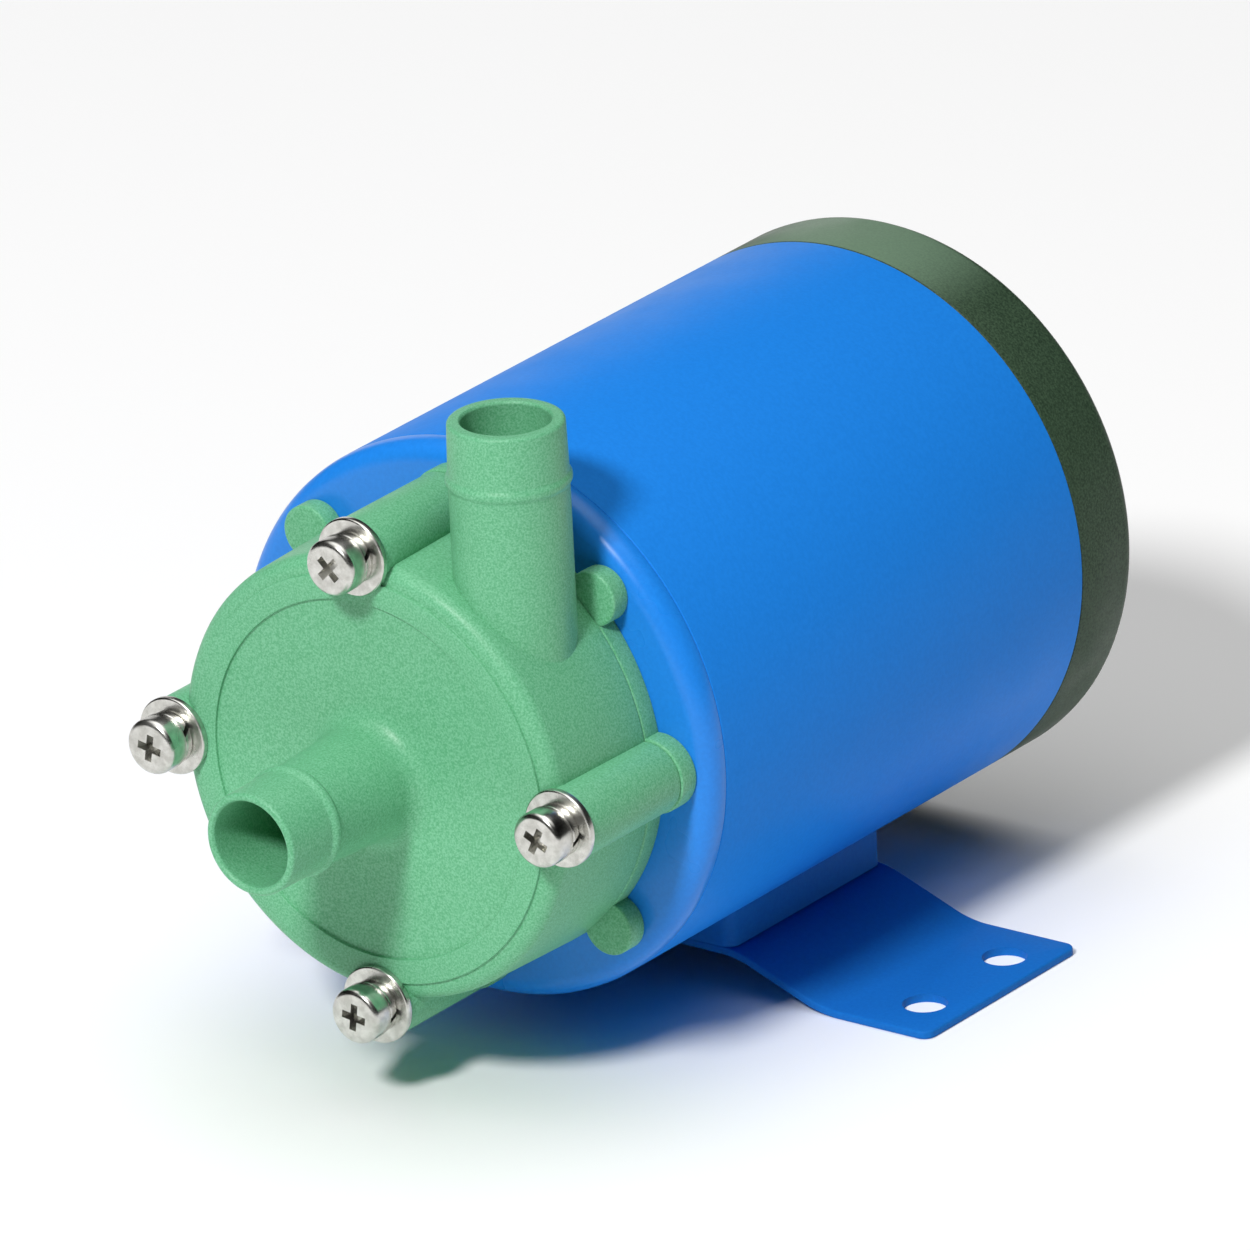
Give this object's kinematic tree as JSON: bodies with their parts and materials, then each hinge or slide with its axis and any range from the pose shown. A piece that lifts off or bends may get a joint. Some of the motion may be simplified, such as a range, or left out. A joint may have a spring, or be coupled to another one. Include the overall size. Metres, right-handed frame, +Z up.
{
  "type": "magnetic drive pump",
  "caption": "Compact centrifugal pump with a moulded head, axial hose inlet, upright hose outlet, sealed magnetic coupling and a round motor on a bent sheet foot.",
  "frame": {"origin": "on the floor, in the middle of the four foot holes", "axes": "+Z up, +Y along the pump axis from the inlet towards the rear cover, +X to the right as seen from the inlet"},
  "size_m": [0.106, 0.1526, 0.1],
  "materials": {
    "casing_polypropylene": "grained moulding",
    "blue_paint": "gloss paint",
    "cover_plastic": "satin moulding",
    "stainless_steel": "bright",
    "dark_steel": "machined",
    "cast_aluminium": "die cast",
    "ferrite": "sintered",
    "winding_copper": "enamelled wire",
    "ceramic": "ground ceramic",
    "bearing_carbon": "carbon filled",
    "white_plastic": "moulded",
    "black_rubber": "moulded"
  },
  "bodies": {
    "pump": {"front_casing": "casing_polypropylene", "rear_casing": "casing_polypropylene", "casing_screws": "stainless_steel", "motor_bracket": "blue_paint", "motor_housing": "blue_paint", "rear_cover": "cover_plastic", "base_plate": "blue_paint", "saddle_rails": "blue_paint", "spring_washers": "stainless_steel", "flat_washers": "stainless_steel", "cover_screws": "stainless_steel", "cable_grommet": "black_rubber", "casing_o_ring": "black_rubber", "spindle": "ceramic", "front_thrust_ring": "ceramic", "rear_thrust_ring": "ceramic", "mouth_ring": "white_plastic", "bearing_outer_rings": "stainless_steel", "bearing_balls": "stainless_steel", "wave_washer": "stainless_steel", "front_shield": "cast_aluminium", "rear_shield": "cast_aluminium", "stator_core": "dark_steel", "stator_winding": "winding_copper", "bracket_screws": "stainless_steel"},
    "motor_rotor": {"rotor_core": "dark_steel", "motor_shaft": "stainless_steel", "rotor_end_rings": "cast_aluminium", "bearing_inner_rings": "stainless_steel", "drive_yoke": "dark_steel", "drive_magnets": "ferrite", "yoke_screw": "dark_steel", "cooling_fan": "white_plastic"},
    "impeller_set": {"impeller": "casing_polypropylene", "impeller_bush": "bearing_carbon", "impeller_magnet": "ferrite", "magnet_cap": "casing_polypropylene"}
  },
  "joints": [
    {"name": "rotor_spin", "type": "hinge", "parent": "pump", "child": "motor_rotor", "pos_m": [0, 0, 0.0475], "axis": [0, -1, 0], "continuous": true},
    {"name": "impeller_spin", "type": "hinge", "parent": "pump", "child": "impeller_set", "pos_m": [0, -0.06, 0.0475], "axis": [0, -1, 0], "continuous": true}
  ],
  "couplings": [
    {"joint": "impeller_spin", "follows": "rotor_spin", "ratio": 1}
  ]
}
